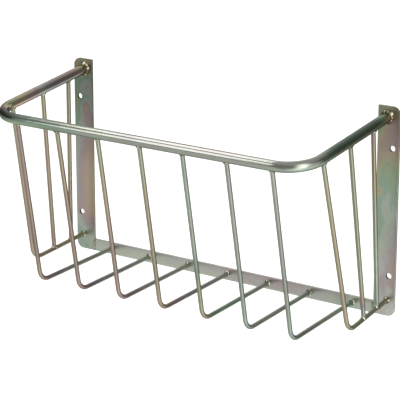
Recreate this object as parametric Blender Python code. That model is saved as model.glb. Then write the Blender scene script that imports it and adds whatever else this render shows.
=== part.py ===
"""Wall-mounted hay rack: two flat straps, a flat bottom rail, a bent tube rim, seven L-shaped front bars,
two L-shaped end bars, four straight side bars, and the weld bead at every joint.

Frame: metres, +Z up, +X along the wall, -Y out of the wall. The origin is on the wall plane, at the middle of
the rail's back, and the rack is symmetric about X = 0. Lengths below are in millimetres, and heights are
counted from the straps' feet, which stand half the rail's height below the origin.
"""
import math

import bmesh
import bpy
from mathutils import Matrix, Vector

MM = 0.001
GAP = 0.3                     # clearance between pieces that touch

# flat bars
WIDTH = 600.0                 # over both straps
STRAP_W = 36.0
STRAP_T = 4.0
STRAP_H = 322.0
STRAP_CORNER_R = 12.0         # the two outer corners
HOLE_D = 9.0
HOLE_FROM_OUTER_EDGE = 10.7
HOLE_FROM_END = 63.0
RAIL_H = 20.0

# rim: round tube in a plane that falls towards the front
RIM_R = 8.0
RIM_WALL = 1.5
RIM_X = 279.5                 # centre line of each side run
RIM_Z_WALL = 305.5            # centre line at the straps
RIM_Z_FRONT = 277.0           # centre line at the front
RIM_DEPTH = 230.0             # centre line of the front run, from the straps' front
RIM_BEND_R = 48.0

# round bars
BAR_R = 3.5
BAR_BEND_R = 21.0
FRONT_BARS = 7
PITCH_TOP = 76.0              # along the rim and along the rail
PITCH_HEEL = 77.3             # at the bend: the bars splay a little
HEEL_DEPTH = 178.5            # corner of the front bars, from the straps' front
HEEL_Z = 4.0
LEG_Z = 10.0                  # where the legs meet the rail

END_TOP_DEPTH = 180.0
END_HEEL = (292.5, 122.0, 13.5)      # x, depth, z of the end bar's corner
END_FOOT = (287.0, 0.0, 24.8)        # x, depth, z where its leg meets the strap
SIDE_BARS = {"front": (106.0, 73.0), "rear": (41.0, 31.5)}   # depth at the rim, depth at the leg

# welds: throat (how far the bead spreads) and leg (how far it climbs the bar)
WELD_BAR = (2.1, 2.6)
WELD_LEG = (1.6, 2.4)
WELD_RIM = (3.2, 3.6)
SEAM = (3.2, 1.5, 9.2)        # half width, height, half length of the rail seam bead
WELD_SEGMENTS = 16

COLLECTION = "hay_rack"


# ---------------------------------------------------------------- scene and materials

for old in list(bpy.data.objects):
    bpy.data.objects.remove(old, do_unlink=True)

parts = bpy.data.collections.new(COLLECTION)
bpy.context.scene.collection.children.link(parts)
cutters = bpy.data.collections.new("cutters")
bpy.context.scene.collection.children.link(cutters)

root = bpy.data.objects.new("hay_rack_feet", None)
root.location = (0, 0, -RAIL_H / 2 * MM)
parts.objects.link(root)


def material(name, colour, roughness):
    """Zinc-plated, yellow-passivated steel in one of the tints seen on the rack."""
    mat = bpy.data.materials.new(name)
    mat.use_nodes = True
    bsdf = mat.node_tree.nodes["Principled BSDF"]
    bsdf.inputs["Base Color"].default_value = (*colour, 1.0)
    bsdf.inputs["Roughness"].default_value = roughness
    bsdf.inputs["Metallic"].default_value = 1.0
    mat.diffuse_color = (*colour, 1.0)
    return mat


MAT = {
    "strap": material("strap_zinc", (0.40, 0.42, 0.36), 0.38),
    "rail": material("rail_zinc", (0.44, 0.44, 0.38), 0.38),
    "rim": material("rim_zinc", (0.42, 0.47, 0.40), 0.22),
    "front_bar": material("front_bar_zinc", (0.44, 0.43, 0.36), 0.30),
    "end_bar": material("end_bar_zinc", (0.43, 0.39, 0.33), 0.30),
    "side_bar": material("side_bar_zinc", (0.46, 0.47, 0.34), 0.30),
    "weld": material("weld_zinc", (0.50, 0.48, 0.32), 0.35),
}


# ---------------------------------------------------------------- geometry helpers

def at(x, depth, z):
    """A point given by x, its distance in front of the straps' front face, and its height."""
    return Vector((x, -STRAP_T - depth, z))


def rim_z(depth):
    """Height of the rim's centre line at a given depth."""
    return RIM_Z_WALL + (RIM_Z_FRONT - RIM_Z_WALL) * depth / RIM_DEPTH


def rounded_corner(a, corner, b, radius, steps):
    """Points of the arc that rounds the corner of the path a, corner, b."""
    u = (a - corner).normalized()
    v = (b - corner).normalized()
    half = u.angle(v) / 2.0
    centre = corner + (u + v).normalized() * (radius / math.sin(half))
    start = corner + u * (radius / math.tan(half)) - centre
    end = corner + v * (radius / math.tan(half)) - centre
    sweep = start.angle(end)
    points = []
    for i in range(steps + 1):
        t = i / steps
        points.append(centre + (start * math.sin((1 - t) * sweep) + end * math.sin(t * sweep)) / math.sin(sweep))
    return points


def end_clearance(direction, normal):
    """Stand-off of a square-cut bar end from a plane, so that its nearest edge keeps the gap."""
    c = abs(direction.normalized().dot(normal))
    return GAP / c + BAR_R * math.sqrt(max(0.0, 1 - c * c)) / c


def end_on_round(direction, other, other_r):
    """Distance from the other bar's axis, along this bar, at which a square-cut end keeps the gap."""
    c = abs(direction.normalized().dot(other.normalized()))
    s = math.sqrt(1 - c * c)
    return (other_r + GAP + BAR_R * c) / s


def settle(obj, slot, origin):
    """Name, material, collection and parent of a finished piece whose mesh is relative to its origin."""
    obj.data.materials.clear()
    obj.data.materials.append(MAT[slot])
    obj.location = origin * MM
    obj.parent = root
    if obj.name not in parts.objects:
        parts.objects.link(obj)
    return obj


def curve_to_mesh(obj):
    """Replace a curve object by its welded mesh under the same name."""
    bpy.context.view_layer.update()
    evaluated = obj.evaluated_get(bpy.context.evaluated_depsgraph_get())
    mesh = bpy.data.meshes.new_from_object(evaluated)
    bm = bmesh.new()
    bm.from_mesh(mesh)
    bmesh.ops.remove_doubles(bm, verts=bm.verts, dist=1e-6)
    bmesh.ops.recalc_face_normals(bm, faces=bm.faces)
    bm.to_mesh(mesh)
    bm.free()
    name, matrix = obj.name, obj.matrix_world.copy()
    data = obj.data
    homes = list(obj.users_collection)
    bpy.data.objects.remove(obj, do_unlink=True)
    bpy.data.curves.remove(data)
    new = bpy.data.objects.new(name, mesh)
    new.matrix_world = matrix
    for home in homes:
        home.objects.link(new)
    return new


def wire(name, points, radius, sides, home):
    """A round bar along a path, as a curve with a round bevel and filled caps, made a mesh."""
    curve = bpy.data.curves.new(name, "CURVE")
    curve.dimensions = "3D"
    curve.bevel_depth = radius * MM
    curve.bevel_resolution = (sides - 4) // 2
    curve.use_fill_caps = True
    spline = curve.splines.new("POLY")
    spline.points.add(len(points) - 1)
    for target, p in zip(spline.points, points):
        target.co = (*(p * MM), 1.0)
    obj = bpy.data.objects.new(name, curve)
    home.objects.link(obj)
    obj = curve_to_mesh(obj)
    obj.data.shade_smooth()
    obj.data.set_sharp_from_angle(angle=math.radians(50))
    return obj


def flat_plate(name, outlines, thickness):
    """A plate of the given outlines (outer first, then holes) in the XZ plane, with its back at Y = 0."""
    curve = bpy.data.curves.new(name, "CURVE")
    curve.dimensions = "2D"
    curve.fill_mode = "BOTH"
    curve.extrude = thickness * MM / 2
    for outline in outlines:
        spline = curve.splines.new("POLY")
        spline.points.add(len(outline) - 1)
        for target, (x, z) in zip(spline.points, outline):
            target.co = (x * MM, z * MM, 0.0, 1.0)
        spline.use_cyclic_u = True
    obj = bpy.data.objects.new(name, curve)
    parts.objects.link(obj)
    obj = curve_to_mesh(obj)
    obj.data.transform(Matrix.Translation((0, -thickness * MM / 2, 0)) @ Matrix.Rotation(math.pi / 2, 4, "X"))
    return obj


def circle(cx, cz, radius, segments):
    return [(cx + radius * math.cos(2 * math.pi * i / segments), cz + radius * math.sin(2 * math.pi * i / segments))
            for i in range(segments)]


def cut(obj, cutter):
    """Take the cutter's volume out of a piece."""
    cutter.hide_render = True
    cutter.display_type = "WIRE"
    mod = obj.modifiers.new("cut_" + cutter.name, "BOOLEAN")
    mod.operation = "DIFFERENCE"
    mod.object = cutter
    mod.solver = "EXACT"


def weld_collar(name, slot, joint, direction, bar_r, size, normal=None, other=None, other_r=0.0, seats=2,
                slack=0.0):
    """A fillet bead around a bar where it meets a flat face (normal) or a round bar (other, other_r).

    joint is the point where the bar's axis meets the face, or the other bar's axis; direction points away
    from it along the bar. The section of the bead is a bulging triangle: it rests on the bar and on the other
    piece, a gap away from both, and follows the other piece through as many points as seats says. slack is
    further clearance for a tightly curved seat.
    """
    d = direction.normalized()
    e1 = d.orthogonal().normalized()
    if other is not None:
        a = other.normalized()
        e1 = (a - d * a.dot(d)).normalized()
    e2 = d.cross(e1)
    throat, leg = size
    inner = bar_r + GAP
    outer = inner + throat

    def seat(rho, u):
        """Height along the bar at which radius rho meets the other piece, a gap away."""
        if normal is not None:
            return (GAP - rho * u.dot(normal)) / d.dot(normal)
        dp = d - a * d.dot(a)
        up = u - a * u.dot(a)
        b = rho * dp.dot(up)
        c = rho * rho * up.length_squared - (other_r + GAP + slack) ** 2
        return (-b + math.sqrt(max(0.0, b * b - dp.length_squared * c))) / dp.length_squared

    bm = bmesh.new()
    rings = []
    for i in range(WELD_SEGMENTS):
        phi = 2 * math.pi * i / WELD_SEGMENTS
        u = e1 * math.cos(phi) + e2 * math.sin(phi)
        foot = [(rho, seat(rho, u)) for rho in (inner + throat * k / (seats - 1) for k in range(seats))]
        foot_out = foot[-1][1]
        top = foot[0][1] + leg
        section = foot + [
            (inner + throat * 0.86, foot_out + (top - foot_out) * 0.42),
            (inner + throat * 0.48, foot_out + (top - foot_out) * 0.80),
            (inner, top),
        ]
        rings.append([bm.verts.new((d * s + u * rho) * MM) for rho, s in section])
    count = len(rings[0])
    for i in range(WELD_SEGMENTS):
        here, there = rings[i], rings[(i + 1) % WELD_SEGMENTS]
        for k in range(count):
            bm.faces.new((here[k], here[(k + 1) % count], there[(k + 1) % count], there[k]))
    bmesh.ops.recalc_face_normals(bm, faces=bm.faces)
    mesh = bpy.data.meshes.new(name)
    bm.to_mesh(mesh)
    bm.free()
    mesh.shade_smooth()
    mesh.set_sharp_from_angle(angle=math.radians(60))
    return settle(bpy.data.objects.new(name, mesh), slot, joint)


# ---------------------------------------------------------------- straps and rail

strap_x = WIDTH / 2 - STRAP_W / 2

for side, sign in (("left", -1), ("right", 1)):
    half = STRAP_W / 2
    r = STRAP_CORNER_R
    outline = [(-half * sign, 0.0)]
    for corner_z, start in ((r, 270), (STRAP_H - r, 0)):
        for i in range(9):
            angle = math.radians(start + 90 * i / 8)
            outline.append((sign * (half - r + r * math.cos(angle)), corner_z + r * math.sin(angle)))
    outline.append((-half * sign, STRAP_H))
    hole_x = sign * (half - HOLE_FROM_OUTER_EDGE)
    holes = [circle(hole_x, HOLE_FROM_END, HOLE_D / 2, 24),
             circle(hole_x, STRAP_H - HOLE_FROM_END, HOLE_D / 2, 24)]
    strap = flat_plate("mounting_strap_" + side, [outline] + holes, STRAP_T)
    settle(strap, "strap", Vector((sign * strap_x, 0, 0)))

rail_half = WIDTH / 2 - STRAP_W - GAP
bpy.ops.mesh.primitive_cube_add(size=1.0)
rail = bpy.context.active_object
rail.name = rail.data.name = "bottom_rail"
for home in list(rail.users_collection):
    home.objects.unlink(rail)
rail.data.transform(Matrix.Diagonal((2 * rail_half * MM, STRAP_T * MM, RAIL_H * MM, 1.0)))
settle(rail, "rail", Vector((0, -STRAP_T / 2, RAIL_H / 2)))


# ---------------------------------------------------------------- rim

def rim_path(overrun):
    """Centre line of the rim from the left strap to the right strap, relative to the middle of the back."""
    origin = Vector((0, -STRAP_T, RIM_Z_WALL))
    fall = (at(0, RIM_DEPTH, RIM_Z_FRONT) - at(0, 0, RIM_Z_WALL)).normalized()
    back_l, back_r = at(-RIM_X, 0, RIM_Z_WALL), at(RIM_X, 0, RIM_Z_WALL)
    front_l, front_r = at(-RIM_X, RIM_DEPTH, RIM_Z_FRONT), at(RIM_X, RIM_DEPTH, RIM_Z_FRONT)
    points = [back_l - fall * overrun]
    points += rounded_corner(back_l, front_l, front_r, RIM_BEND_R, 8)
    points += rounded_corner(front_l, front_r, back_r, RIM_BEND_R, 8)
    points.append(back_r - fall * overrun)
    return [p - origin for p in points], origin


path, rim_origin = rim_path(4.0)
rim = wire("top_rim", path, RIM_R, 24, parts)
bore = wire("rim_bore", rim_path(8.0)[0], RIM_R - RIM_WALL, 16, cutters)
bore.location = rim_origin * MM
bore.parent = root
bpy.ops.mesh.primitive_cube_add(size=1.0)
wall_side = bpy.context.active_object
wall_side.name = wall_side.data.name = "rim_end_trim"
for home in list(wall_side.users_collection):
    home.objects.unlink(wall_side)
cutters.objects.link(wall_side)
wall_side.data.transform(Matrix.Diagonal((0.7, 0.06, 0.08, 1.0)))
wall_side.location = (0, (-STRAP_T - GAP) * MM + 0.03, RIM_Z_WALL * MM)
wall_side.parent = root
cut(rim, bore)
cut(rim, wall_side)
settle(rim, "rim", rim_origin)

rim_side_run = (at(0, RIM_DEPTH, RIM_Z_FRONT) - at(0, 0, RIM_Z_WALL)).normalized()
wall_out = Vector((0, -1, 0))
for side, sign in (("left", -1), ("right", 1)):
    weld_collar("weld_rim_strap_" + side, "weld", at(sign * RIM_X, 0, RIM_Z_WALL), rim_side_run, RIM_R, WELD_RIM,
                normal=wall_out)


# ---------------------------------------------------------------- L-shaped bars

def l_bar(name, slot, top, heel, foot, top_gap, foot_gap):
    """A bar with one bend. top lies on the rim's centre line, foot on the face that the leg meets."""
    up = (top - heel).normalized()
    back = (foot - heel).normalized()
    points = [top - up * top_gap]
    points += rounded_corner(top, heel, foot, BAR_BEND_R, 6)
    points.append(foot - back * foot_gap)
    return settle(wire(name, [p - foot for p in points], BAR_R, 12, parts), slot, foot)


x_run = Vector((1, 0, 0))
middle = (FRONT_BARS + 1) / 2
for n in range(1, FRONT_BARS + 1):
    x_top, x_heel = (n - middle) * PITCH_TOP, (n - middle) * PITCH_HEEL
    top = at(x_top, RIM_DEPTH, RIM_Z_FRONT)
    heel = at(x_heel, HEEL_DEPTH, HEEL_Z)
    foot = at(x_top, 0, LEG_Z)
    name = "front_bar_%d" % n
    l_bar(name, "front_bar", top, heel, foot, end_on_round(top - heel, x_run, RIM_R),
          end_clearance(foot - heel, wall_out))
    weld_collar("weld_%s_rim" % name, "weld", top, heel - top, BAR_R, WELD_BAR, other=x_run, other_r=RIM_R)
    weld_collar("weld_%s_rail" % name, "weld", foot, heel - foot, BAR_R, WELD_BAR, normal=wall_out)

for side, sign in (("left", -1), ("right", 1)):
    top = at(sign * RIM_X, END_TOP_DEPTH, rim_z(END_TOP_DEPTH))
    heel = at(sign * END_HEEL[0], END_HEEL[1], END_HEEL[2])
    foot = at(sign * END_FOOT[0], END_FOOT[1], END_FOOT[2])
    name = "end_bar_" + side
    l_bar(name, "end_bar", top, heel, foot, end_on_round(top - heel, rim_side_run, RIM_R),
          end_clearance(foot - heel, wall_out))
    weld_collar("weld_%s_rim" % name, "weld", top, heel - top, BAR_R, WELD_BAR, other=rim_side_run, other_r=RIM_R)
    weld_collar("weld_%s_strap" % name, "weld", foot, heel - foot, BAR_R, WELD_BAR, normal=wall_out)

    # straight side bars, from the rim's side run to the end bar's leg
    leg_run = (heel - foot).normalized()
    for place, (rim_depth, leg_depth) in SIDE_BARS.items():
        upper = at(sign * RIM_X, rim_depth, rim_z(rim_depth))
        lower = foot + (heel - foot) * (leg_depth / END_HEEL[1])
        down = (lower - upper).normalized()
        start = upper + down * end_on_round(down, rim_side_run, RIM_R)
        stop = lower - down * end_on_round(down, leg_run, BAR_R)
        bar = "side_bar_%s_%s" % (side, place)
        settle(wire(bar, [start - lower, stop - lower], BAR_R, 12, parts), "side_bar", lower)
        weld_collar("weld_%s_rim" % bar, "weld", upper, down, BAR_R, WELD_BAR, other=rim_side_run, other_r=RIM_R)
        weld_collar("weld_%s_leg" % bar, "weld", lower, -down, BAR_R, WELD_LEG, other=leg_run, other_r=BAR_R,
                    seats=5, slack=0.2)


# ---------------------------------------------------------------- seams between rail and straps

for side, sign in (("left", -1), ("right", 1)):
    name = "weld_rail_strap_" + side
    bm = bmesh.new()
    bmesh.ops.create_uvsphere(bm, u_segments=16, v_segments=10, radius=MM)
    bmesh.ops.scale(bm, vec=(SEAM[0], SEAM[1] + 0.6, SEAM[2]), verts=bm.verts)
    bmesh.ops.rotate(bm, cent=(0, 0, 0), matrix=Matrix.Rotation(math.radians(11.25), 3, "Z"), verts=bm.verts)
    cut_at = bmesh.ops.bisect_plane(bm, geom=bm.verts[:] + bm.edges[:] + bm.faces[:], plane_co=(0, -0.6 * MM, 0),
                                    plane_no=(0, 1, 0), clear_outer=True, dist=1e-7)
    bmesh.ops.holes_fill(bm, edges=[g for g in cut_at["geom_cut"] if isinstance(g, bmesh.types.BMEdge)])
    bmesh.ops.recalc_face_normals(bm, faces=bm.faces)
    mesh = bpy.data.meshes.new(name)
    bm.to_mesh(mesh)
    bm.free()
    mesh.shade_smooth()
    mesh.set_sharp_from_angle(angle=math.radians(60))
    settle(bpy.data.objects.new(name, mesh), "weld",
           Vector((sign * (WIDTH / 2 - STRAP_W), -STRAP_T - GAP + 0.6, RAIL_H / 2)))

bpy.context.view_layer.update()
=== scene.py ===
"""Looks of a wall-mounted hay rack: zinc-plated steel with a yellow passivation that shines in pastel green, teal,
mauve, olive and tan. Every CAD node is replaced, in its place, by a finer mesh: bars that run right into their
joints, plates with rolled edges and lumpy weld beads.

Lengths are in millimetres until a mesh is written, in the CAD's frame: the wall plane is y = 0, the room is
towards -y, and z = 0 is the middle of the rail. Each mesh carries four attributes that the finish reads:
lay   place in the unbent bar or plate, in metres, so that streaks follow every bend
film  thickness of the passivation film, 0 to 1, which sets its tint
tone  brightness of the plating; on the rim, the straps and the weld beads it also carries painted highlights and
painted shade heat  how much of the heat of a weld reached the place
"""
import math

import bpy
import numpy as np
from mathutils import Matrix, Vector, geometry, noise


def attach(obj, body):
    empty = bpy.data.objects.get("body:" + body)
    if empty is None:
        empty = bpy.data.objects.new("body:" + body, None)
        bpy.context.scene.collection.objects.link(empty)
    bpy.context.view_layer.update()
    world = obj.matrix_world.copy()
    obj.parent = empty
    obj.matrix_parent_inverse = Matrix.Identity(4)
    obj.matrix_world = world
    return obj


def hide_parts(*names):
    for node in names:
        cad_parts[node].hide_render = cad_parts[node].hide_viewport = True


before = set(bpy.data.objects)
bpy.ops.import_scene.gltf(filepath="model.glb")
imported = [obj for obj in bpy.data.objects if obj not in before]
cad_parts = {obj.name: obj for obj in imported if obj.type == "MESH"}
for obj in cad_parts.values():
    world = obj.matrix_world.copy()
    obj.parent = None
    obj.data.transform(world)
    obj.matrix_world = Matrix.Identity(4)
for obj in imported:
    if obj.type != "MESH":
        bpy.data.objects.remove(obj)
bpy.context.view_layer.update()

MM = 0.001

# flat bars
WIDTH = 600.0
STRAP_W = 36.0
STRAP_T = 4.0
STRAP_H = 322.0
STRAP_CORNER_R = 12.0
HOLE_R = 4.5
HOLE_FROM_OUTER_EDGE = 10.7
HOLE_FROM_END = 63.0
RAIL_H = 20.0
EDGE_R = 0.55                 # rolled edges of the flat bars
HOLE_EDGE_R = 0.35

# rim
RIM_R = 8.0
RIM_X = 279.5
RIM_Z_WALL = 305.5
RIM_Z_FRONT = 277.0
RIM_DEPTH = 230.0
RIM_BEND_R = 48.0

# round bars
BAR_R = 3.5
BAR_BEND_R = 21.0
FRONT_BARS = 7
PITCH_TOP = 76.0
PITCH_HEEL = 77.3
HEEL_DEPTH = 178.5
HEEL_Z = 4.0
LEG_Z = 10.0
END_TOP_DEPTH = 180.0
END_HEEL = (292.5, 122.0, 13.5)
END_FOOT = (287.0, 0.0, 24.8)
SIDE_BARS = {"front": (106.0, 73.0), "rear": (41.0, 31.5)}

# welds: how far a bead spreads over the other piece, and how far it climbs the bar
WELD_BAR = (2.1, 2.6)
WELD_LEG = (1.7, 2.5)
WELD_RIM = (3.2, 3.6)
SEAM = (3.2, 1.4, 9.2)

SIDES = (("left", -1), ("right", 1))
WALL_OUT = Vector((0, -1, 0))
X_RUN = Vector((1, 0, 0))


# ---------------------------------------------------------------- node trees

class Tree:
    """Short calls for building a node tree."""

    def __init__(self, tree):
        self.tree = tree
        tree.nodes.clear()

    def node(self, kind, inputs=None, **settings):
        made = self.tree.nodes.new(kind)
        for key, value in settings.items():
            setattr(made, key, value)
        for key, value in (inputs or {}).items():
            self.feed(made.inputs[key], value)
        return made

    def feed(self, socket, value):
        if isinstance(value, bpy.types.NodeSocket):
            self.tree.links.new(value, socket)
        else:
            socket.default_value = value

    def math(self, operation, a, b=0.0, c=0.0, clamp=False):
        made = self.node("ShaderNodeMath", {0: a, 1: b, 2: c}, operation=operation)
        made.use_clamp = clamp
        return made.outputs[0]

    def smooth(self, value, low, high, to_low=0.0, to_high=1.0):
        """to_low below low, to_high above high, and an eased step between them."""
        return self.node("ShaderNodeMapRange", {"Value": value, "From Min": low, "From Max": high, "To Min": to_low,
                                                "To Max": to_high}, interpolation_type="SMOOTHSTEP").outputs[0]

    def mix(self, factor, a, b, blend="MIX"):
        made = self.node("ShaderNodeMix", data_type="RGBA", blend_type=blend)
        self.feed(made.inputs[0], factor)
        self.feed(made.inputs[6], a)
        self.feed(made.inputs[7], b)
        return made.outputs[2]

    def ramp(self, value, stops, interpolation="LINEAR"):
        made = self.node("ShaderNodeValToRGB", {"Fac": value})
        ramp = made.color_ramp
        ramp.interpolation = interpolation
        while len(ramp.elements) < len(stops):
            ramp.elements.new(0.5)
        for element, (place, colour) in zip(ramp.elements, stops):
            element.position = place
            element.color = (*colour, 1.0)
        return made.outputs[0]

    def noise(self, vector, scale, detail=2.0, roughness=0.5, distortion=0.0, stretch=(1, 1, 1)):
        placed = self.node("ShaderNodeVectorMath", {0: vector, 1: stretch}, operation="MULTIPLY").outputs[0]
        return self.node("ShaderNodeTexNoise", {"Vector": placed, "Scale": scale, "Detail": detail,
                                                "Roughness": roughness, "Distortion": distortion}).outputs["Fac"]

    def around_zero(self, value, amount):
        """A noise value about 0.5 turned into plus or minus amount."""
        return self.math("MULTIPLY", self.math("SUBTRACT", value, 0.5), 2.0 * amount)


# ---------------------------------------------------------------- finish

# tints of the passivation, in order of the film's thickness
FILM_TINTS = (
    (0.00, (0.205, 0.262, 0.222)),     # teal
    (0.16, (0.285, 0.310, 0.232)),     # sage
    (0.32, (0.305, 0.288, 0.192)),     # olive
    (0.46, (0.318, 0.264, 0.192)),     # tan
    (0.58, (0.300, 0.232, 0.203)),     # rose
    (0.70, (0.262, 0.226, 0.222)),     # mauve
    (0.82, (0.280, 0.292, 0.268)),     # slate
    (0.87, (0.290, 0.302, 0.252)),     # pale olive
    (0.92, (0.290, 0.330, 0.280)),     # pale green
    (0.97, (0.218, 0.284, 0.232)),     # teal again
    (1.03, (0.218, 0.288, 0.203)),     # green
    (1.10, (0.295, 0.298, 0.196)),     # olive again
    (1.20, (0.315, 0.266, 0.190)),     # tan again
    (1.32, (0.290, 0.228, 0.208)),     # rose again
)
FILM_RANGE = 1.32
STRAW = (0.38, 0.335, 0.205)
UMBER = (0.145, 0.098, 0.052)
SOOT = (0.060, 0.046, 0.034)
EDGE_TINT = (0.45, 0.45, 0.45, 1.0)     # the film dulls the metal at a grazing angle


def finish(name, roughness, patches, mottle=0.10, streaks=0.07, relief=1.0):
    """Zinc plate with passivation. patches is how much the film varies, mottle and streaks how much the tone does."""
    material = bpy.data.materials.new(name)
    material.use_nodes = True
    t = Tree(material.node_tree)
    lay = t.node("ShaderNodeAttribute", attribute_name="lay").outputs["Vector"]
    film = t.node("ShaderNodeAttribute", attribute_name="film").outputs["Fac"]
    tone = t.node("ShaderNodeAttribute", attribute_name="tone").outputs["Fac"]
    heat = t.node("ShaderNodeAttribute", attribute_name="heat").outputs["Fac"]

    clouds = t.noise(lay, 16.0, detail=2.0, distortion=0.5, stretch=(3.5, 3.5, 1))
    blotches = t.noise(lay, 75.0, detail=3.0, roughness=0.55, stretch=(1.6, 1.6, 1))
    grain = t.noise(lay, 420.0, detail=3.0, roughness=0.6)
    drawn = t.noise(lay, 38.0, detail=3.0, roughness=0.6, stretch=(38, 38, 1))
    pits = t.noise(lay, 1300.0, detail=2.0, roughness=0.5)
    waves = t.noise(lay, 42.0, detail=1.0)

    thickness = t.math("ADD", film, t.around_zero(clouds, patches))
    thickness = t.math("ADD", thickness, t.around_zero(blotches, patches * 0.60))
    tint = t.ramp(t.math("DIVIDE", thickness, FILM_RANGE), [(place / FILM_RANGE, colour) for place, colour in FILM_TINTS])

    shade = t.math("ADD", tone, t.around_zero(blotches, mottle))
    shade = t.math("ADD", shade, t.around_zero(grain, mottle * 0.6))
    shade = t.math("ADD", shade, t.around_zero(drawn, streaks))
    plated = t.node("ShaderNodeVectorMath", {0: tint, "Scale": shade}, operation="SCALE").outputs[0]

    # heat of the welds: straw at the edge of the halo, brown and then sooty towards the bead
    glow = t.math("ADD", heat, t.math("MULTIPLY", t.around_zero(blotches, 0.45), heat))
    burnt = t.ramp(glow, ((0.18, STRAW), (0.45, UMBER), (0.90, SOOT)), "EASE")
    burnt = t.mix(t.smooth(glow, 0.10, 0.62, 0.0, 0.86), plated, burnt)

    rough = t.math("ADD", t.around_zero(blotches, 0.05), t.around_zero(grain, 0.04))
    rough = t.math("ADD", rough, t.math("MULTIPLY", heat, 0.10))
    rough = t.math("ADD", rough, roughness, clamp=True)

    bump = t.node("ShaderNodeBump", {"Height": waves, "Strength": 0.35 * relief, "Distance": 0.0004})
    bump = t.node("ShaderNodeBump", {"Height": drawn, "Strength": 0.40 * relief, "Distance": 0.00004,
                                     "Normal": bump.outputs[0]})
    bump = t.node("ShaderNodeBump", {"Height": pits, "Strength": 0.35 * relief, "Distance": 0.00003,
                                     "Normal": bump.outputs[0]})
    shader = t.node("ShaderNodeBsdfPrincipled", {"Base Color": burnt, "Metallic": 1.0, "Roughness": rough,
                                                 "Specular Tint": EDGE_TINT, "Normal": bump.outputs[0]})
    t.node("ShaderNodeOutputMaterial", {"Surface": shader.outputs[0]})
    return material


def bead_finish(name):
    """Plated weld metal, from brown to pale straw as the tone rises: the tone carries painted highlights on the crests
    and painted shade in the folds.
    """
    material = bpy.data.materials.new(name)
    material.use_nodes = True
    t = Tree(material.node_tree)
    lay = t.node("ShaderNodeAttribute", attribute_name="lay").outputs["Vector"]
    tone = t.node("ShaderNodeAttribute", attribute_name="tone").outputs["Fac"]
    gild = t.node("ShaderNodeAttribute", attribute_name="film").outputs["Fac"]
    blotches = t.noise(lay, 260.0, detail=3.0, roughness=0.6, distortion=0.4)
    grain = t.noise(lay, 1500.0, detail=2.0)
    level = t.math("ADD", tone, t.around_zero(blotches, 0.34))
    gilt = t.ramp(level, ((0.05, SOOT), (0.32, UMBER), (0.52, (0.30, 0.265, 0.16)), (0.76, (0.46, 0.44, 0.30)),
                          (0.97, (0.62, 0.61, 0.50))))
    grey = t.ramp(level, ((0.05, (0.075, 0.073, 0.052)), (0.34, (0.185, 0.186, 0.138)), (0.62, (0.300, 0.306, 0.240)),
                          (0.97, (0.56, 0.57, 0.49))))
    colour = t.mix(gild, grey, gilt)
    rough = t.math("ADD", t.around_zero(blotches, 0.10), 0.24)
    bump = t.node("ShaderNodeBump", {"Height": grain, "Strength": 0.35, "Distance": 0.00004})
    shader = t.node("ShaderNodeBsdfPrincipled", {"Base Color": colour, "Metallic": 1.0, "Roughness": rough,
                                                 "Specular Tint": EDGE_TINT, "Normal": bump.outputs[0]})
    t.node("ShaderNodeOutputMaterial", {"Surface": shader.outputs[0]})
    return material


FINISH = {
    "strap": finish("strap_passivated_zinc", 0.36, 0.16, mottle=0.10, streaks=0.10),
    "rail": finish("rail_passivated_zinc", 0.34, 0.085, mottle=0.10, streaks=0.10),
    "rim": finish("rim_passivated_zinc", 0.165, 0.10, mottle=0.06, streaks=0.05, relief=0.7),
    "front_bar": finish("front_bar_passivated_zinc", 0.34, 0.12),
    "end_bar": finish("end_bar_passivated_zinc", 0.34, 0.12),
    "side_bar": finish("side_bar_passivated_zinc", 0.34, 0.12),
    "weld": bead_finish("weld_passivated_zinc"),
}


# ---------------------------------------------------------------- meshes

def at(x, depth, z):
    """A point given by x, its distance in front of the straps' front face, and its height over the straps' feet."""
    return Vector((x, -STRAP_T - depth, z - RAIL_H / 2))


def rim_z(depth):
    return RIM_Z_WALL + (RIM_Z_FRONT - RIM_Z_WALL) * depth / RIM_DEPTH


RIM_SIDE_RUN = (at(0, RIM_DEPTH, RIM_Z_FRONT) - at(0, 0, RIM_Z_WALL)).normalized()

HOT = []                      # (centre, radius of the joint, reach of the heat, gain)
made = [0]


def heat_at(points):
    """Heat of the welds at each point of an array, 0 to 1."""
    heat = np.zeros(len(points))
    for centre, core, reach, gain in HOT:
        off = np.maximum(np.linalg.norm(points - np.array(centre), axis=1) - core, 0.0)
        heat = np.maximum(heat, gain * np.exp(-(off / reach) ** 2))
    return heat


def along(stops, places):
    """Values of a list of (place, value) stops, eased between them."""
    x = np.array([s[0] for s in stops], float)
    y = np.array([s[1] for s in stops], float)
    i = np.clip(np.searchsorted(x, places, side="right") - 1, 0, max(0, len(x) - 2))
    if len(x) == 1:
        return np.full(len(places), y[0])
    t = np.clip((places - x[i]) / (x[i + 1] - x[i]), 0, 1)
    return y[i] + (y[i + 1] - y[i]) * t * t * (3 - 2 * t)


def put(name, node, slot, points, faces, lay, film, tone, heat=None, sharp=40):
    """Writes a piece's mesh with its attributes, and ties it to the frame."""
    points = np.array([tuple(p) for p in points], float)
    mesh = bpy.data.meshes.new(name)
    mesh.from_pydata([tuple(p) for p in points * MM], [], faces)
    mesh.shade_smooth()
    mesh.set_sharp_from_angle(angle=math.radians(sharp))
    made[0] += 1
    shift = np.array((0.11 * (made[0] % 5), 0.13 * (made[0] % 7), 0.41 * made[0]))
    lay = np.array([tuple(p) for p in lay], float) * MM + shift
    mesh.attributes.new("lay", "FLOAT_VECTOR", "POINT").data.foreach_set("vector", lay.astype(np.float32).ravel())
    for key, values in (("film", film), ("tone", tone), ("heat", heat_at(points) if heat is None else heat)):
        values = np.broadcast_to(np.asarray(values, float), (len(points),))
        mesh.attributes.new(key, "FLOAT", "POINT").data.foreach_set("value", values.astype(np.float32))
    mesh.materials.append(FINISH[slot])
    mesh.update()
    piece = bpy.data.objects.new(name, mesh)
    bpy.context.scene.collection.objects.link(piece)
    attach(piece, "root")
    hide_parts(node)
    return piece


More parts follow.
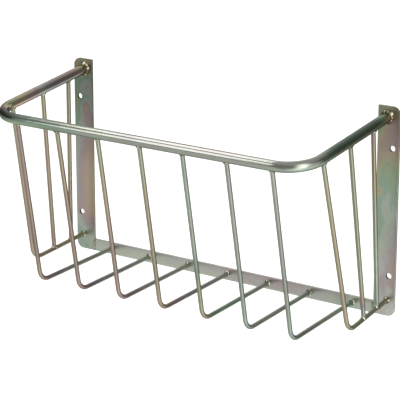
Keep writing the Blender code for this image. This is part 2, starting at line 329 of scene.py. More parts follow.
def rounded_corner(a, corner, b, radius, steps):
    """Points of the arc that rounds the corner of the path a, corner, b."""
    u = (a - corner).normalized()
    v = (b - corner).normalized()
    half = u.angle(v) / 2.0
    centre = corner + (u + v).normalized() * (radius / math.sin(half))
    start = corner + u * (radius / math.tan(half)) - centre
    end = corner + v * (radius / math.tan(half)) - centre
    sweep = start.angle(end)
    return [centre + (start * math.sin((1 - i / steps) * sweep) + end * math.sin(i / steps * sweep)) / math.sin(sweep)
            for i in range(steps + 1)]


def finer(path, step):
    """The path with points added until none are further apart than step."""
    points = [path[0]]
    for a, b in zip(path, path[1:]):
        count = max(1, math.ceil((b - a).length / step))
        points += [a.lerp(b, (i + 1) / count) for i in range(count)]
    return points


def round_bar(path, radius, sides, up):
    """Rings along a path. Returns points, faces, lay, and each point's place along the path (0 to 1) and angle."""
    count = len(path)
    tangents = [(path[min(i + 1, count - 1)] - path[max(i - 1, 0)]).normalized() for i in range(count)]
    length = [0.0]
    for a, b in zip(path, path[1:]):
        length.append(length[-1] + (b - a).length)
    u = (up - tangents[0] * up.dot(tangents[0])).normalized()
    points, lay, places, angles = [], [], [], []
    for i in range(count):
        if i:
            u = tangents[i - 1].rotation_difference(tangents[i]) @ u
            u = (u - tangents[i] * u.dot(tangents[i])).normalized()
        w = tangents[i].cross(u)
        for k in range(sides):
            angle = 2 * math.pi * k / sides
            c, s = radius * math.cos(angle), radius * math.sin(angle)
            points.append(path[i] + u * c + w * s)
            lay.append((c, s, length[i]))
            places.append(length[i] / length[-1])
            angles.append(angle)
    faces = []
    for i in range(count - 1):
        for k in range(sides):
            a, b = i * sides + k, i * sides + (k + 1) % sides
            faces.append((a, b, b + sides, a + sides))
    faces.append(tuple(reversed(range(sides))))
    faces.append(tuple(range((count - 1) * sides, count * sides)))
    return points, faces, lay, np.array(places), np.array(angles)


# ---------------------------------------------------------------- where the pieces meet

bars = {}                     # name: (path, up, slot, film stops, tone stops)
beads = []                    # (node, joint, direction, bar radius, size, normal, other, other radius)


def l_path(top, heel, foot, top_run, foot_run):
    """Centre line of a bent bar. It stops top_run from the rim's centre line and runs foot_run into the face."""
    up = (top - heel).normalized()
    back = (foot - heel).normalized()
    path = [top - up * top_run] + rounded_corner(top, heel, foot, BAR_BEND_R, 18) + [foot + back * foot_run]
    return finer(path, 3.5)


FRONT_FILM = {                # tint of each front bar from the rim, over the bend, to the rail
    1: ((0.0, 0.66), (0.25, 0.56), (0.58, 0.54), (0.67, 0.70), (0.76, 0.84), (1.0, 0.88)),
    2: ((0.0, 0.38), (0.25, 0.50), (0.58, 0.58), (0.67, 0.72), (0.78, 0.82), (1.0, 0.88)),
    3: ((0.0, 0.18), (0.20, 0.46), (0.58, 0.56), (0.66, 0.70), (0.78, 0.82), (1.0, 0.87)),
    4: ((0.0, 0.14), (0.25, 0.38), (0.56, 0.40), (0.62, 0.50), (0.72, 0.76), (1.0, 0.87)),
    5: ((0.0, 0.92), (0.25, 0.90), (0.40, 0.95), (0.50, 1.06), (0.60, 1.16), (0.70, 0.95), (1.0, 0.87)),
    6: ((0.0, 0.84), (0.25, 0.86), (0.55, 0.94), (0.75, 0.86), (1.0, 0.94)),
    7: ((0.0, 0.90), (0.25, 0.82), (0.55, 0.92), (0.75, 0.88), (1.0, 0.95)),
}
LEG_TONE = ((0.0, 1.0), (0.25, 0.95), (0.47, 0.82), (0.60, 0.98), (0.74, 1.20), (1.0, 1.20))
FRONT_TONE = {1: 0.92, 2: 0.94, 3: 1.00, 4: 0.96, 5: 0.98, 6: 1.00, 7: 0.98}

middle = (FRONT_BARS + 1) / 2
for n in range(1, FRONT_BARS + 1):
    x_top, x_heel = (n - middle) * PITCH_TOP, (n - middle) * PITCH_HEEL
    top = at(x_top, RIM_DEPTH, RIM_Z_FRONT)
    heel = at(x_heel, HEEL_DEPTH, HEEL_Z)
    foot = at(x_top, 0, LEG_Z)
    node = "front_bar_%d" % n
    bars[node] = (l_path(top, heel, foot, RIM_R - 1.3, 0.5), X_RUN, "front_bar", FRONT_FILM[n],
                  [(place, FRONT_TONE[n] * gain) for place, gain in LEG_TONE])
    beads.append(("weld_%s_rim" % node, top, heel - top, BAR_R, WELD_BAR, None, X_RUN, RIM_R))
    beads.append(("weld_%s_rail" % node, foot, heel - foot, BAR_R, WELD_BAR, WALL_OUT, None, 0.0))

END_FILM = {
    "left": ((0.0, 0.20), (0.2, 0.44), (0.65, 0.54), (0.80, 0.42), (1.0, 0.34)),
    "right": ((0.0, 0.18), (0.3, 0.40), (0.65, 0.46), (0.80, 0.20), (1.0, 0.30)),
}
SIDE_FILM = {
    ("left", "front"): ((0.0, 0.36), (0.4, 0.48), (0.7, 0.50), (1.0, 0.58)),
    ("left", "rear"): ((0.0, 0.30), (0.4, 0.36), (0.7, 0.44), (1.0, 0.54)),
    ("right", "front"): ((0.0, 0.22), (0.5, 0.24), (0.75, 0.14), (1.0, 0.86)),
    ("right", "rear"): ((0.0, 0.58), (0.2, 0.40), (0.45, 0.20), (0.7, 0.08), (1.0, 0.02)),
}
SIDE_TONE = {
    ("left", "front"): ((0.0, 1.0), (0.5, 0.98), (1.0, 0.88)),
    ("left", "rear"): ((0.0, 0.84), (0.5, 0.94), (1.0, 0.88)),
    ("right", "front"): ((0.0, 0.90), (0.4, 0.90), (1.0, 0.92)),
    ("right", "rear"): ((0.0, 0.80), (0.5, 0.94), (0.75, 1.15), (1.0, 1.15)),
}
for side, sign in SIDES:
    top = at(sign * RIM_X, END_TOP_DEPTH, rim_z(END_TOP_DEPTH))
    heel = at(sign * END_HEEL[0], END_HEEL[1], END_HEEL[2])
    foot = at(sign * END_FOOT[0], END_FOOT[1], END_FOOT[2])
    node = "end_bar_" + side
    bars[node] = (l_path(top, heel, foot, RIM_R - 1.3, 0.6), X_RUN, "end_bar", END_FILM[side],
                  ((0.0, 1.0), (0.55, 0.92), (0.65, 1.0), (0.75, 1.10), (1.0, 1.25)))
    beads.append(("weld_%s_rim" % node, top, heel - top, BAR_R, WELD_BAR, None, RIM_SIDE_RUN, RIM_R))
    beads.append(("weld_%s_strap" % node, foot, heel - foot, BAR_R, WELD_BAR, WALL_OUT, None, 0.0))
    leg_run = (heel - foot).normalized()
    for place, (rim_depth, leg_depth) in SIDE_BARS.items():
        upper = at(sign * RIM_X, rim_depth, rim_z(rim_depth))
        lower = foot + (heel - foot) * (leg_depth / END_HEEL[1])
        down = (lower - upper).normalized()
        node = "side_bar_%s_%s" % (side, place)
        path = finer([upper + down * (RIM_R - 1.3), lower - down * 1.6], 3.5)
        bars[node] = (path, X_RUN, "side_bar", SIDE_FILM[side, place], SIDE_TONE[side, place])
        beads.append(("weld_%s_rim" % node, upper, down, BAR_R, WELD_BAR, None, RIM_SIDE_RUN, RIM_R))
        beads.append(("weld_%s_leg" % node, lower, -down, BAR_R, WELD_LEG, None, leg_run, BAR_R))
    beads.append(("weld_rim_strap_" + side, at(sign * RIM_X, 0, RIM_Z_WALL), RIM_SIDE_RUN, RIM_R, WELD_RIM, WALL_OUT,
                  None, 0.0))

for node, joint, direction, bar_r, size, normal, other, other_r in beads:
    if bar_r == RIM_R:
        HOT.append((joint, 9.0, 8.0, 0.55))
    elif other is None:
        HOT.append((joint, 4.0, 6.0, 0.52))
    else:
        HOT.append((joint + direction.normalized() * other_r, 2.0, 4.5 if other_r == RIM_R else 4.0, 0.22))
for side, sign in SIDES:
    HOT.append((at(sign * (WIDTH / 2 - STRAP_W), 0, RAIL_H / 2), 2.0, 5.0, 0.55))


# ---------------------------------------------------------------- bars and rim

for node, (path, up, slot, film, tone) in bars.items():
    points, faces, lay, places, angles = round_bar(path, BAR_R, 28, up)
    put(node + "_wire", node, slot, points, faces, lay, along(film, places), along(tone, places))

back_l, back_r = at(-RIM_X, 0, RIM_Z_WALL), at(RIM_X, 0, RIM_Z_WALL)
front_l, front_r = at(-RIM_X, RIM_DEPTH, RIM_Z_FRONT), at(RIM_X, RIM_DEPTH, RIM_Z_FRONT)
path = [back_l - RIM_SIDE_RUN * 1.2]
path += rounded_corner(back_l, front_l, front_r, RIM_BEND_R, 28)
path += rounded_corner(front_l, front_r, back_r, RIM_BEND_R, 28)
path.append(back_r - RIM_SIDE_RUN * 1.2)
plane_up = X_RUN.cross(RIM_SIDE_RUN)
points, faces, lay, places, angles = round_bar(finer(path, 4.0), RIM_R, 56, plane_up if plane_up.z > 0 else -plane_up)
film = along(((0.0, 0.44), (0.045, 0.70), (0.08, 0.76), (0.115, 0.86), (0.145, 0.62), (0.165, 0.46), (0.19, 0.30),
              (0.208, 0.36), (0.235, 0.88), (0.25, 0.99), (0.30, 0.99),
              (0.38, 0.96), (0.50, 0.85), (0.66, 0.84), (0.73, 0.88), (0.775, 0.89), (0.80, 0.90), (0.83, 1.03),
              (0.96, 1.06), (0.985, 1.12), (1.0, 1.14)), places)
# painted light and shade along the rim: brighter along the left leg and at the right strap, darker in the left bend and
# along the right leg
tone = along(((0.0, 1.24), (0.07, 1.18), (0.15, 1.10), (0.185, 0.95), (0.205, 0.76), (0.24, 0.90), (0.31, 1.0), (0.70, 1.05),
              (0.80, 1.08), (0.85, 0.66), (0.955, 0.64), (0.985, 1.15), (1.0, 1.35)), places)
# the inside of the left bend and the underside of the front run next to it carry painted highlights, the front of the
# bend's top painted shade
painted_highlight_inside = along(((0.0, 0.0), (0.08, 0.05), (0.14, 0.55), (0.195, 0.75), (0.216, 1.6), (0.236, 0.3), (0.25, 0.0)), places)
painted_shade_top = along(((0.0, 0.0), (0.215, 0.0), (0.234, 0.50), (0.258, 0.45), (0.285, 0.12), (0.30, 0.0)), places)
painted_highlight_below = along(((0.0, 0.0), (0.235, 0.0), (0.262, 0.70), (0.29, 0.40), (0.33, 0.0)), places)
tone = tone * (1 + painted_highlight_inside * np.clip(-np.sin(angles), 0, 1)) * (1 - painted_shade_top * np.clip(1.2 * np.cos(angles - 0.5), 0, 1))
tone = tone * (1 + painted_highlight_below * np.clip(0.3 - np.cos(angles), 0, 1))
teal_below = along(((0.0, 0.78), (0.03, 0.60), (0.06, 0.20), (0.09, 0.0)), places) * np.clip(0.1 - np.cos(angles), 0, 1)
put("top_rim_tube", "top_rim", "rim", points, faces, lay, film - 0.08 * np.cos(angles) + teal_below, tone,
    heat=0.55 * heat_at(np.array([tuple(p) for p in points])))


# ---------------------------------------------------------------- straps

def corner_arc(cx, cz, radius, start, sweep, steps):
    return [(cx + radius * math.cos(math.radians(start + sweep * i / steps)),
             cz + radius * math.sin(math.radians(start + sweep * i / steps))) for i in range(steps + 1)]


def outline(inset):
    """Outline of the right strap about its own middle line, in from its edge by inset, counter-clockwise."""
    half, tall, small = STRAP_W / 2, STRAP_H, 1.0
    r_out, r_in = STRAP_CORNER_R - inset, max(small - inset, 0.15)
    loop = []
    lo, hi = inset, tall - inset
    left, right = -half + inset, half - inset
    count = 9

    def straight(a, b, steps):
        return [(a[0] + (b[0] - a[0]) * i / steps, a[1] + (b[1] - a[1]) * i / steps) for i in range(1, steps)]

    bottom_right = corner_arc(right - r_out, lo + r_out, r_out, 270, 90, count)
    top_right = corner_arc(right - r_out, hi - r_out, r_out, 0, 90, count)
    top_left = corner_arc(left + r_in, hi - r_in, r_in, 90, 90, 3)
    bottom_left = corner_arc(left + r_in, lo + r_in, r_in, 180, 90, 3)
    for here, there, steps in ((bottom_right, top_right, 74), (top_right, top_left, 6), (top_left, bottom_left, 80),
                               (bottom_left, bottom_right, 6)):
        loop += here + straight(here[-1], there[0], steps)
    return loop


def hole_loop(cx, cz, radius, steps=40):
    return [(cx + radius * math.cos(2 * math.pi * i / steps), cz + radius * math.sin(2 * math.pi * i / steps))
            for i in range(steps)]


def edge_profile(radius):
    """(inset, y) from the front face over the edge to the back face."""
    turn = [math.radians(a) for a in (0, 22.5, 45, 67.5, 90)]
    front = [(radius * (1 - math.sin(a)), -STRAP_T + radius * (1 - math.cos(a))) for a in turn]
    back = [(inset, -STRAP_T - y) for inset, y in reversed(front)]
    return [(radius * 2.4, -STRAP_T)] + front + [(0.0, -STRAP_T / 2)] + back + [(radius * 2.4, 0.0)]


def strap(side, sign):
    hole_x = STRAP_W / 2 - HOLE_FROM_OUTER_EDGE
    holes = [(hole_x, HOLE_FROM_END), (hole_x, STRAP_H - HOLE_FROM_END)]
    points, faces = [], []
    rims = []                 # for each contour, the indices of its front and back support loops
    for contour in range(3):
        radius = EDGE_R if contour == 0 else HOLE_EDGE_R
        loops = []
        for inset, y in edge_profile(radius):
            loop = outline(inset) if contour == 0 else hole_loop(*holes[contour - 1], HOLE_R + inset)
            first = len(points)
            points += [(x, y, z) for x, z in loop]
            loops.append(list(range(first, len(points))))
        for a, b in zip(loops, loops[1:]):
            for i in range(len(a)):
                j = (i + 1) % len(a)
                quad = (a[i], a[j], b[j], b[i])
                faces.append(quad if contour == 0 else quad[::-1])
        rims.append((loops[0], loops[-1]))
    for which, y in ((0, -STRAP_T), (1, 0.0)):
        loops = [rim[which] for rim in rims]
        flat, owner = [], []
        edges = []
        for loop in loops:
            first = len(flat)
            flat += [Vector((points[i][0], points[i][2])) for i in loop]
            owner += loop
            edges += [(first + i, first + (i + 1) % len(loop)) for i in range(len(loop))]
        reach = EDGE_R * 2.4 + 1.8
        for row in range(1, 81):
            z = row * STRAP_H / 81
            for column in range(9):
                x = -STRAP_W / 2 + reach + (STRAP_W - 2 * reach) * (column + 0.5 * (row % 2)) / 8.5
                outside = x > STRAP_W / 2 - STRAP_CORNER_R and (z < STRAP_CORNER_R or z > STRAP_H - STRAP_CORNER_R)
                corner_z = STRAP_CORNER_R if z < STRAP_H / 2 else STRAP_H - STRAP_CORNER_R
                if outside and math.hypot(x - (STRAP_W / 2 - STRAP_CORNER_R), z - corner_z) > STRAP_CORNER_R - reach:
                    continue
                if z < reach or z > STRAP_H - reach:
                    continue
                if any(math.hypot(x - hx, z - hz) < HOLE_R + HOLE_EDGE_R * 2.4 + 1.2 for hx, hz in holes):
                    continue
                flat.append(Vector((x, z)))
                owner.append(len(points))
                points.append((x, y, z))
        out_flat, _, out_faces, origins, _, _ = geometry.delaunay_2d_cdt(flat, edges, [], 1, 1e-5)
        index = [owner[o[0]] for o in origins]
        for face in out_faces:
            centre = sum((out_flat[i] for i in face), Vector((0, 0))) / len(face)
            if any(math.hypot(centre.x - hx, centre.y - hz) < HOLE_R + HOLE_EDGE_R * 2.3 for hx, hz in holes):
                continue
            tri = tuple(index[i] for i in face)
            faces.append(tri if which == 0 else tri[::-1])
    middle_x = sign * (WIDTH / 2 - STRAP_W / 2)
    placed = [(middle_x + sign * x, y, z - RAIL_H / 2) for x, y, z in points]
    if sign < 0:
        faces = [face[::-1] for face in faces]
    array = np.array(points)
    up, across = array[:, 2] / STRAP_H, array[:, 0] / (STRAP_W / 2) * sign
    film = along(STRAP_FILM[side][0], up) + along(STRAP_FILM[side][1], up) * across
    for up_at, across_at, up_reach, across_reach, change in STRAP_STAINS[side]:
        film = film + change * np.exp(-((up - up_at) / up_reach) ** 2 - ((across - across_at) / across_reach) ** 2)
    # painted light and shade up each strap
    tone = along(STRAP_LIGHT_AND_SHADE[side], up)
    for hx, hz in holes:      # the walls of the screw holes: a thinner film, and painted shade that darkens them
        off = np.hypot(array[:, 0] - hx, array[:, 2] - hz) - HOLE_R
        tone = np.where(off < 0.2, 0.36, tone)
        film = np.where(off < 0.2, 0.30, film)
    put("mounting_strap_%s_plate" % side, "mounting_strap_" + side, "strap", placed, faces,
        [(x * sign, y, z) for x, y, z in points], film, tone, sharp=60)


# from the foot (0) to the top (1): the film in the middle of the strap, and its change towards the right edge
STRAP_FILM = {
    "left": (((0.0, 0.93), (0.10, 0.92), (0.15, 0.80), (0.20, 0.58), (0.42, 0.58), (0.56, 0.66), (0.66, 0.84),
              (0.75, 0.97), (0.885, 1.00), (0.93, 1.09), (1.0, 1.12)),
             ((0.0, -0.05), (0.15, -0.12), (0.40, -0.20), (0.60, -0.18), (0.80, -0.02), (1.0, 0.0))),
    "right": (((0.0, 0.77), (0.10, 0.76), (0.18, 0.72), (0.25, 0.74), (0.33, 0.80), (0.42, 0.87), (0.52, 0.93),
               (0.60, 0.99), (0.67, 1.02), (0.73, 1.11), (0.77, 1.18), (0.81, 1.30), (0.87, 1.27), (0.92, 1.20),
               (0.97, 1.12), (1.0, 1.10)),
              ((0.0, 0.0), (0.25, -0.08), (0.40, -0.09), (0.60, -0.03), (0.70, -0.04), (0.80, 0.04), (0.86, 0.16),
               (0.91, 0.20), (1.0, 0.03))),
}
# brightness of each strap from the foot (0) to the top (1): painted light and shade, darker towards the top under the
# rim, and the right strap lit brighter than the left
STRAP_LIGHT_AND_SHADE = {
    "left": ((0.0, 1.20), (0.26, 1.30), (0.42, 1.26), (0.58, 1.02), (0.74, 0.76), (0.79, 0.66), (0.92, 0.62), (1.0, 0.66)),
    "right": ((0.0, 1.78), (0.10, 1.70), (0.25, 1.58), (0.41, 1.36), (0.58, 1.42), (0.66, 1.34), (0.75, 1.16), (0.92, 0.94),
              (1.0, 0.84)),
}
# stains: place up the strap (0 to 1), across it (-1 to 1), their reaches, and what they do to the film
STRAP_STAINS = {
    "left": ((0.858, 0.35, 0.034, 0.60, -0.20), (0.745, 0.25, 0.036, 0.46, -0.47), (0.690, 0.60, 0.040, 0.50, -0.18),
             (0.785, -0.70, 0.020, 0.50, 0.12), (0.145, 0.25, 0.030, 0.50, -0.14)),
    "right": ((0.595, -0.72, 0.018, 0.38, 0.26), (0.160, -0.50, 0.025, 0.40, -0.12), (0.125, 0.45, 0.020, 0.40, 0.14),
              (0.430, -0.90, 0.070, 0.22, 0.16), (0.760, -0.80, 0.030, 0.40, 0.12),
              (0.885, -0.85, 0.035, 0.45, -0.10), (0.965, -0.80, 0.030, 0.45, 0.08)),
}
for side, sign in SIDES:
    strap(side, sign)


# ---------------------------------------------------------------- rail

half_t, half_h = STRAP_T / 2, RAIL_H / 2
section = []                  # (y, z) about the rail's middle, front face first
for cy, cz, start in ((half_t, -half_h, 270), (half_t, half_h, 0), (-half_t, half_h, 90), (-half_t, -half_h, 180)):
    ys, zs = math.copysign(half_t - EDGE_R, cy), math.copysign(half_h - EDGE_R, cz)
    arc = corner_arc(ys, zs, EDGE_R, start, 90, 4)
    if section:
        y0, z0 = section[-1]
        y1, z1 = arc[0]
        steps = max(2, round(math.hypot(y1 - y0, z1 - z0) / 3.5))
        section += [(y0 + (y1 - y0) * i / steps, z0 + (z1 - z0) * i / steps) for i in range(1, steps)]
    section += arc
y0, z0 = section[-1]
y1, z1 = section[0]
section += [(y0 + (y1 - y0) / 2, z0 + (z1 - z0) / 2)]
rail_half = WIDTH / 2 - STRAP_W + 0.02
rings = 133
points = [(-rail_half + 2 * rail_half * i / (rings - 1), y - half_t, z) for i in range(rings) for y, z in section]
around = len(section)
faces = [(i * around + k, i * around + (k + 1) % around, (i + 1) * around + (k + 1) % around, (i + 1) * around + k)
         for i in range(rings - 1) for k in range(around)]
faces += [tuple(reversed(range(around))), tuple(range((rings - 1) * around, rings * around))]
array = np.array(points)
places = (array[:, 0] + rail_half) / (2 * rail_half)
film = along(((0.0, 0.89), (0.08, 0.88), (0.20, 0.87), (0.34, 0.85), (0.46, 0.81), (0.56, 0.75), (0.70, 0.74),
              (0.80, 0.80), (0.90, 0.89), (0.945, 0.895), (1.0, 0.88)), places)
put("bottom_rail_bar", "bottom_rail", "rail", points, faces, [(y, z, x) for x, y, z in points],
    film - 0.05 * array[:, 2] / half_h, along(((0.0, 1.38), (0.2, 1.46), (0.7, 1.46), (0.84, 1.35), (0.905, 1.14),
                                              (0.94, 1.38), (1.0, 1.46)), places), sharp=60)


# ---------------------------------------------------------------- weld beads

BEAD_AROUND = 84
BEAD_UP = 9


def bead(node, joint, direction, bar_r, size, normal, other, other_r):
    """A lumpy fillet around a bar where it meets a face or another bar. Its feet are sunk into both."""
    seed = Vector((joint.x * 0.013 + 3.1, joint.y * 0.017 - 1.7, joint.z * 0.011 + 0.4))
    d = direction.normalized()
    if other is not None:
        a = other.normalized()
        e1 = (a - d * a.dot(d)).normalized()
    else:
        e1 = d.orthogonal().normalized()
    e2 = d.cross(e1)
    throat, leg = size

    def seat(rho, u, sunk):
        """How far along the bar the other piece's surface is, at radius rho in direction u."""
        if normal is not None:
            return (-sunk - rho * u.dot(normal)) / d.dot(normal)
        dp = d - a * d.dot(a)
        up = u - a * u.dot(a)
        b = rho * dp.dot(up)
        c = rho * rho * up.length_squared - (other_r - sunk) ** 2
        return (-b + math.sqrt(max(0.0, b * b - dp.length_squared * c))) / dp.length_squared

    points, lay, tone, faces = [], [], [], []
    passes = 3 if bar_r == RIM_R else 2
    # base of the bead's tone, set per joint: highest where a bar meets the rim, lowest on the rim's right bead
    crest_base = (0.16 if joint.x < 0 else 0.0) if bar_r == RIM_R else 0.26 if other_r == RIM_R else 0.16
    for i in range(BEAD_AROUND):
        phi = 2 * math.pi * i / BEAD_AROUND
        u = e1 * math.cos(phi) + e2 * math.sin(phi)
        ring = Vector((math.cos(phi), math.sin(phi), 0.0))
        big = noise.noise(ring * 0.9 * passes + seed)
        small = noise.noise(ring * 2.6 * passes + seed * 2.0)
        wide = throat * (0.98 + 0.34 * big + 0.12 * small)
        high = leg * (0.98 + 0.30 * noise.noise(ring * 1.1 * passes - seed) + 0.12 * small)
        outer = bar_r + wide
        foot, base = seat(outer, u, 0.12), seat(bar_r, u, 0.0)
        section = [(bar_r - 0.7, seat(bar_r - 0.7, u, 0.5)), (outer, seat(outer, u, 0.5))]
        crest = []
        for k in range(BEAD_UP + 1):
            t = k / BEAD_UP
            bulge = 0.58 + 0.10 * big
            control = (bar_r + wide * bulge, base + high * bulge)
            rho = (1 - t) ** 2 * outer + 2 * t * (1 - t) * control[0] + t * t * (bar_r - 0.10)
            s = (1 - t) ** 2 * foot + 2 * t * (1 - t) * control[1] + t * t * (base + high)
            body = math.sin(math.pi * t) ** 0.8
            ripple = abs(math.sin(phi * (7 if bar_r == RIM_R else 4) + 1.6 * t + 3.0 * big + 1.2 * small)) ** 0.8
            lump = noise.noise(Vector((rho * ring.x, rho * ring.y, s)) * 0.55 + seed * 3.0)
            out = body * throat * (0.14 * (ripple - 0.5) + 0.20 * lump)
            section.append((rho + 0.7 * out, s + 0.7 * out))
            # painted highlight along the middle of the bead and on its ripples, painted shade in the folds and towards
            # its feet; lump and big add random tone
            crest.append(crest_base + 0.10 + 0.34 * body + 0.36 * body * (ripple - 0.5) + 0.35 * lump + 0.80 * big)
        section.append((bar_r - 0.7, base + high))
        values = [0.18, 0.18] + crest + [0.18]
        for (rho, s), value in zip(section, values):
            p = joint + d * s + u * rho
            points.append(p)
            lay.append(p)
            tone.append(value)
    count = BEAD_UP + 4
    for i in range(BEAD_AROUND):
        here, there = i * count, ((i + 1) % BEAD_AROUND) * count
        for k in range(count):
            m = (k + 1) % count
            faces.append((here + k, here + m, there + m, there + k))
    if signed_volume(points, faces) < 0:
        faces = [face[::-1] for face in faces]
    put(node + "_bead", node, "weld", points, faces, lay, 0.90 if bar_r == RIM_R else 0.40, tone, heat=0.0, sharp=75)


def signed_volume(points, faces):
    total = 0.0
    for face in faces:
        a = points[face[0]]
        for b, c in zip(face[1:], face[2:]):
            total += a.dot(points[b].cross(points[c]))
    return total


for row in beads:
    bead(*row)


def seam(node, centre):
    """The low bead between the rail's end and the strap: overlapping half moons, one above the other."""
    half_w, height, half_l = SEAM
    rows, columns = 64, 18
    points, tone = [], []
    for i in range(rows + 1):
        v = -1 + 2 * i / rows
        for j in range(columns + 1):
            h = -1 + 2 * j / columns
            narrow = math.sqrt(max(0.0, 1 - abs(v) ** 3.2))
            wobble = 1 + 0.10 * noise.noise(Vector((v * 4, h, centre.x)))
            x = h * half_w * narrow * wobble
            scale = abs(math.sin((v + 0.10 * h * h) * 11.0 + 1.6 * noise.noise(Vector((v * 2.0, h * 0.4, centre.x))))) ** 0.8
            mound = max(0.0, 1 - h * h) ** 0.7 * narrow
            lump = noise.noise(Vector((x * 0.5, v * 5.0, centre.x)))
            y = -(height * mound * (0.88 + 0.12 * scale) + 0.16 * lump * mound) + 0.15
            points.append(Vector((centre.x + x, centre.y + y, centre.z + v * half_l)))
            # painted highlight along the top of the mound and on its scales; lump adds random tone
            tone.append(0.46 + 0.22 * mound * (0.7 + 0.3 * scale) + 0.22 * lump)
    front = len(points)
    points += [Vector((p.x, centre.y + 0.6, p.z)) for p in points]
    tone += [0.05] * front
    faces, wide = [], columns + 1
    for i in range(rows):
        for j in range(columns):
            a = i * wide + j
            quad = (a, a + 1, a + wide + 1, a + wide)
            faces.append(quad)
            faces.append(tuple(front + k for k in reversed(quad)))
    edge = [j for j in range(columns)] + [i * wide + columns for i in range(rows)]
    edge += [rows * wide + j for j in range(columns, 0, -1)] + [i * wide for i in range(rows, 0, -1)]
    for a, b in zip(edge, edge[1:] + edge[:1]):
        faces.append((b, a, a + front, b + front))
    if signed_volume(points, faces) < 0:
        faces = [face[::-1] for face in faces]
    put(node + "_bead", node, "weld", points, faces, points, 0.15, tone, heat=0.0, sharp=75)


for side, sign in SIDES:
    seam("weld_rail_strap_" + side, at(sign * (WIDTH / 2 - STRAP_W), 0, RAIL_H / 2))


# ---------------------------------------------------------------- floor

def floor_mesh(name, size, z):
    """A flat floor as a fan of rings around the middle."""
    mesh = bpy.data.meshes.new(name)
    points, faces = [(0.0, 0.0, z)], []
    radii = [size * (i / 12) ** 2 for i in range(1, 13)]
    for radius in radii:
        points += [(radius * math.cos(2 * math.pi * k / 48), radius * math.sin(2 * math.pi * k / 48), z)
                   for k in range(48)]
    for k in range(48):
        faces.append((0, 1 + k, 1 + (k + 1) % 48))
        for ring in range(len(radii) - 1):
            a, b = 1 + ring * 48 + k, 1 + ring * 48 + (k + 1) % 48
            faces.append((a, a + 48, b + 48, b))
    mesh.from_pydata(points, [], faces)
    return mesh


floor = bpy.data.objects.new("floor", floor_mesh("floor", 60.0, -0.62))
bpy.context.scene.collection.objects.link(floor)
pale = bpy.data.materials.new("floor_pale")
pale.use_nodes = True
t = Tree(pale.node_tree)
place = t.node("ShaderNodeTexCoord").outputs["Object"]
cloud = t.noise(place, 1.2, detail=2.0)
colour = t.ramp(cloud, ((0.3, (0.93, 0.93, 0.93)), (0.7, (0.95, 0.95, 0.945))))
shader = t.node("ShaderNodeBsdfPrincipled", {"Base Color": colour, "Roughness": 0.9, "Specular IOR Level": 0.1})
t.node("ShaderNodeOutputMaterial", {"Surface": shader.outputs[0]})
floor.data.materials.append(pale)
floor.visible_glossy = False      # the studio below carries the floor's reflection


# ---------------------------------------------------------------- studio

world = bpy.data.worlds.new("studio")
world.use_nodes = True
bpy.context.scene.world = world
t = Tree(world.node_tree)
way = t.node("ShaderNodeTexCoord").outputs["Generated"]
parts = t.node("ShaderNodeSeparateXYZ", {0: way})
x, y, z = parts.outputs[0], parts.outputs[1], parts.outputs[2]
front = t.math("MULTIPLY", y, -1.0)
left = t.math("MULTIPLY", x, -1.0)


def product(*factors):
    value = factors[0]
    for factor in factors[1:]:
        value = t.math("MULTIPLY", value, factor)
    return value


# walls and ceiling of the room: dim, brighter overhead, to the right and high up at the back left
room = t.math("ADD", 0.42, product(t.smooth(z, 0.62, 0.95), 0.32))
room = t.math("SUBTRACT", room, product(t.smooth(y, 0.10, 0.50), t.smooth(x, 0.15, 0.55),
                                        t.smooth(z, 0.66, 0.80, 1.0, 0.0), 0.22))
room = t.math("SUBTRACT", room, product(t.smooth(left, 0.42, 0.62), t.smooth(y, 0.10, 0.55, 1.0, 0.0),
                                        t.smooth(z, 0.44, 0.68, 1.0, 0.0), 0.25))
room = t.math("ADD", room, product(t.smooth(y, 0.80, 0.97), t.smooth(z, 0.45, 0.65, 1.0, 0.0), 0.40))
room = t.math("ADD", room, product(t.smooth(x, 0.75, 0.95), t.smooth(z, 0.20, 0.60, 1.0, 0.0), 0.48))
room = t.math("ADD", room, product(t.smooth(y, 0.35, 0.60), t.smooth(left, 0.12, 0.35),
                                   t.smooth(z, 0.20, 0.36, 0.55, 0.85)))
# the white floor: dimmer straight ahead and towards the back, brighter under the softbox at the front right
ahead = t.math("ADD", product(front, 0.985), product(x, 0.17))
below = t.math("SUBTRACT", 1.02, product(t.smooth(y, 0.15, 0.60), t.smooth(z, -0.48, -0.18), 0.76))
below = t.math("SUBTRACT", below, product(t.smooth(ahead, 0.76, 0.94), 0.48))
below = t.math("ADD", below, product(t.smooth(x, 0.40, 0.70), t.smooth(front, 0.12, 0.36), 0.75))
below = t.math("ADD", below, product(t.smooth(x, 0.05, 0.35), t.smooth(front, -0.55, -0.05),
                                     t.smooth(z, -0.62, -0.28, 1.0, 0.0), 0.55))
light = t.math("ADD", product(t.smooth(z, -0.10, 0.02), room), product(t.smooth(z, -0.10, 0.02, 1.0, 0.0), below))
# the glow around the softbox at the front right
towards = t.node("ShaderNodeVectorMath", {0: way, 1: (0.844, -0.449, 0.292)}, operation="DOT_PRODUCT").outputs["Value"]
light = t.math("ADD", light, product(t.smooth(towards, 0.84, 0.98), 0.75))
path = t.node("ShaderNodeLightPath")
light = product(light, t.math("ADD", 1.0, product(path.outputs["Is Diffuse Ray"], 1.2)))
seen = path.outputs["Is Camera Ray"]
strength = t.math("ADD", product(seen, 1.0), product(t.math("SUBTRACT", 1.0, seen), light))
background = t.node("ShaderNodeBackground", {"Color": (1.0, 1.0, 0.99, 1.0), "Strength": strength})
t.node("ShaderNodeOutputWorld", {"Surface": background.outputs[0]})


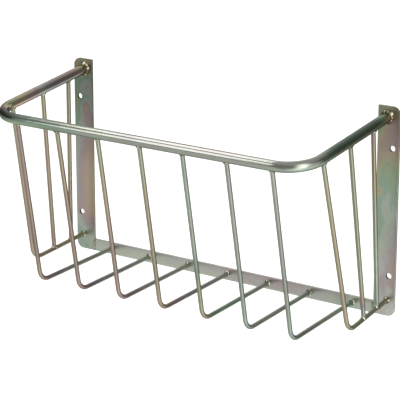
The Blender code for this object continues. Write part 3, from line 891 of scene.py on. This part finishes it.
def softbox(name, centre, facing, width, height, brightness, turn=0.0):
    """A rectangular soft light that the camera doesn't see itself. brightness is its radiance."""
    data = bpy.data.lights.new(name, "AREA")
    data.shape = "RECTANGLE"
    data.size, data.size_y = width, height
    data.energy = brightness * math.pi * width * height
    lamp = bpy.data.objects.new(name, data)
    bpy.context.scene.collection.objects.link(lamp)
    lamp.matrix_world = (Matrix.Translation(centre) @ Vector(facing).to_track_quat("-Z", "Y").to_matrix().to_4x4()
                         @ Matrix.Rotation(turn, 4, "Z"))
    lamp.visible_camera = False
    return lamp


def around(azimuth, elevation, distance):
    """A place on a sphere around the rack. Azimuth 0 is straight in front, positive to the right."""
    azimuth, elevation = math.radians(azimuth), math.radians(elevation)
    return Vector((0, -0.12, 0.20)) + distance * Vector((math.sin(azimuth) * math.cos(elevation),
                                                         -math.cos(azimuth) * math.cos(elevation),
                                                         math.sin(elevation)))


MIDDLE = Vector((0, -0.12, 0.20))
for name, azimuth, elevation, width, height, brightness in (
        ("softbox_front_left", -33.9, 25, 0.48, 1.10, 3.1),
        ("softbox_front_right", 62, 17, 0.38, 2.10, 1.8),
        ("softbox_front_right_edge", 62, 17, 0.64, 2.35, 1.0),
        ("softbox_front_right_rim", 62, 17, 0.94, 2.60, 0.7)):
    centre = around(azimuth, elevation, 1.7)
    softbox(name, centre, MIDDLE - centre, width, height, brightness)
softbox("softbox_over_left", (-0.88, -0.02, 1.62), (0, 0, -1), 0.60, 1.35, 3.2)

view = bpy.context.scene.view_settings
view.view_transform = "Standard"
view.look = "None"
view.exposure = 0.0
view.gamma = 1.0


# ---------------------------------------------------------------- camera

AZIMUTH, ELEVATION, ROLL = (math.radians(a) for a in (34.783, 16.715, -0.029))
TARGET = Vector((0.017593, -0.104, 0.149633))
DISTANCE = 2.857885
LENS = 170.516

data = bpy.data.cameras.new("camera")
data.sensor_width = 36.0
data.lens = LENS
data.clip_start, data.clip_end = 0.05, 200.0
camera = bpy.data.objects.new("camera", data)
bpy.context.scene.collection.objects.link(camera)
back = Vector((math.sin(AZIMUTH) * math.cos(ELEVATION), -math.cos(AZIMUTH) * math.cos(ELEVATION),
               math.sin(ELEVATION)))
right = (-back).cross(Vector((0, 0, 1))).normalized()
up = right.cross(-back)
x_axis = right * math.cos(ROLL) + up * math.sin(ROLL)
y_axis = up * math.cos(ROLL) - right * math.sin(ROLL)
camera.matrix_world = Matrix.Translation(TARGET + back * DISTANCE) @ Matrix((x_axis, y_axis, back)).transposed().to_4x4()
bpy.context.scene.camera = camera
